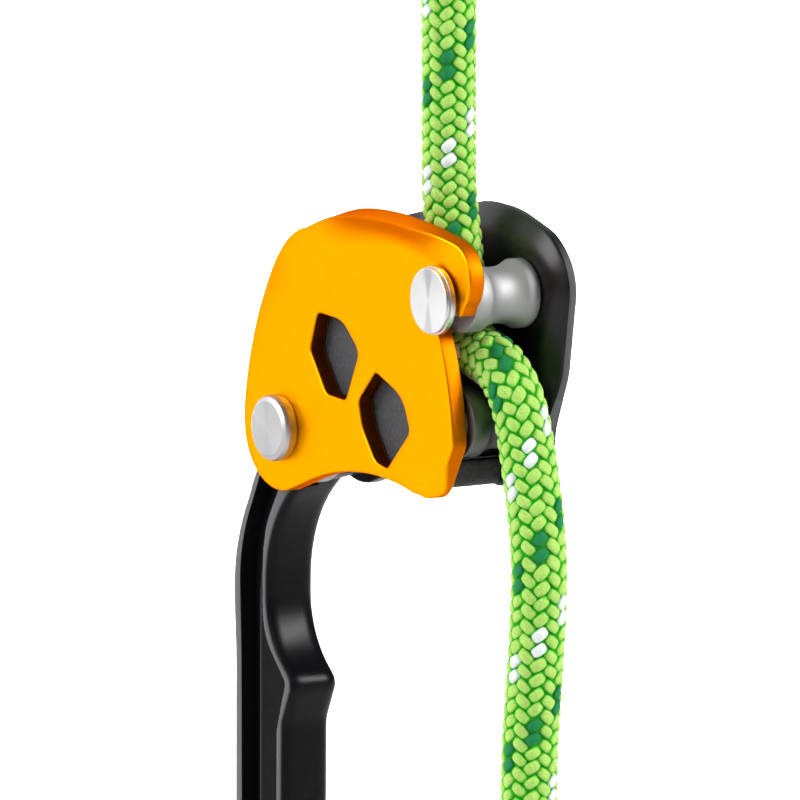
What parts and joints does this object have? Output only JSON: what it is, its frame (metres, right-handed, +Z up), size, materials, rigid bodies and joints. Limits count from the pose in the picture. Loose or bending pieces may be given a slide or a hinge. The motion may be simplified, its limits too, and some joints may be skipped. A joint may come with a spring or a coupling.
{
  "type": "rope brake",
  "caption": "Friction rope brake for climbing: swinging and fixed side plates, spool bollards that bend the rope, and a pivoted channel-section arm with a carabiner eye.",
  "frame": {"origin": "on the rope's line in the mid plane between the side plates, midway in height between the two bollards", "axes": "+Z up along the taut rope, +Y from the swinging plate to the fixed plate, +X from the pivot rivet to the bollards"},
  "size_m": [0.1178, 0.032, 0.3432],
  "materials": {
    "gold_anodised": "satin anodised gold, bead blasted",
    "black_anodised": "satin anodised black",
    "black_forged": "semi-gloss black anodised forging",
    "dark_block": "matt dark grey anodised",
    "stainless_turned": "turned stainless steel with fine tool rings",
    "bronze_bush": "plain bearing bronze",
    "black_screw": "black oxide",
    "rope_sheath": "braided polyester sheath with white and dark green tracers",
    "shrink_sleeve": "matt black heat-shrink tube"
  },
  "bodies": {
    "head": {"fixed_side_plate": "black_anodised", "spacer_block": "dark_block", "upper_bollard": "stainless_turned", "upper_bollard_pin": "stainless_turned", "upper_pin_collar": "stainless_turned", "lower_bollard": "stainless_turned", "lower_bollard_screw": "stainless_turned", "lower_screw_nut": "stainless_turned", "pivot_rivet": "stainless_turned", "pivot_rivet_collar": "stainless_turned", "pivot_spacer": "stainless_turned", "wave_washer": "stainless_turned", "rear_thrust_washer": "bronze_bush", "block_screws": "black_screw", "block_dowels": "stainless_turned", "rope_upper": "rope_sheath", "rope_eye": "rope_sheath", "rope_eye_sleeve": "shrink_sleeve", "rope_lower": "rope_sheath", "rope_end_sleeve": "shrink_sleeve"},
    "side_plate": {"moving_side_plate": "gold_anodised", "plate_bush": "bronze_bush"},
    "arm": {"arm": "black_forged", "arm_pivot_bush": "bronze_bush"}
  },
  "joints": [
    {"name": "side_plate_swing", "type": "hinge", "parent": "head", "child": "side_plate", "pos_m": [-0.0645, 0, -0.022], "axis": [0, -1, 0], "range_deg": [0, 105]},
    {"name": "arm_swing", "type": "hinge", "parent": "head", "child": "arm", "pos_m": [-0.0645, 0, -0.022], "axis": [0, -1, 0], "range_deg": [-20, 20]}
  ]
}
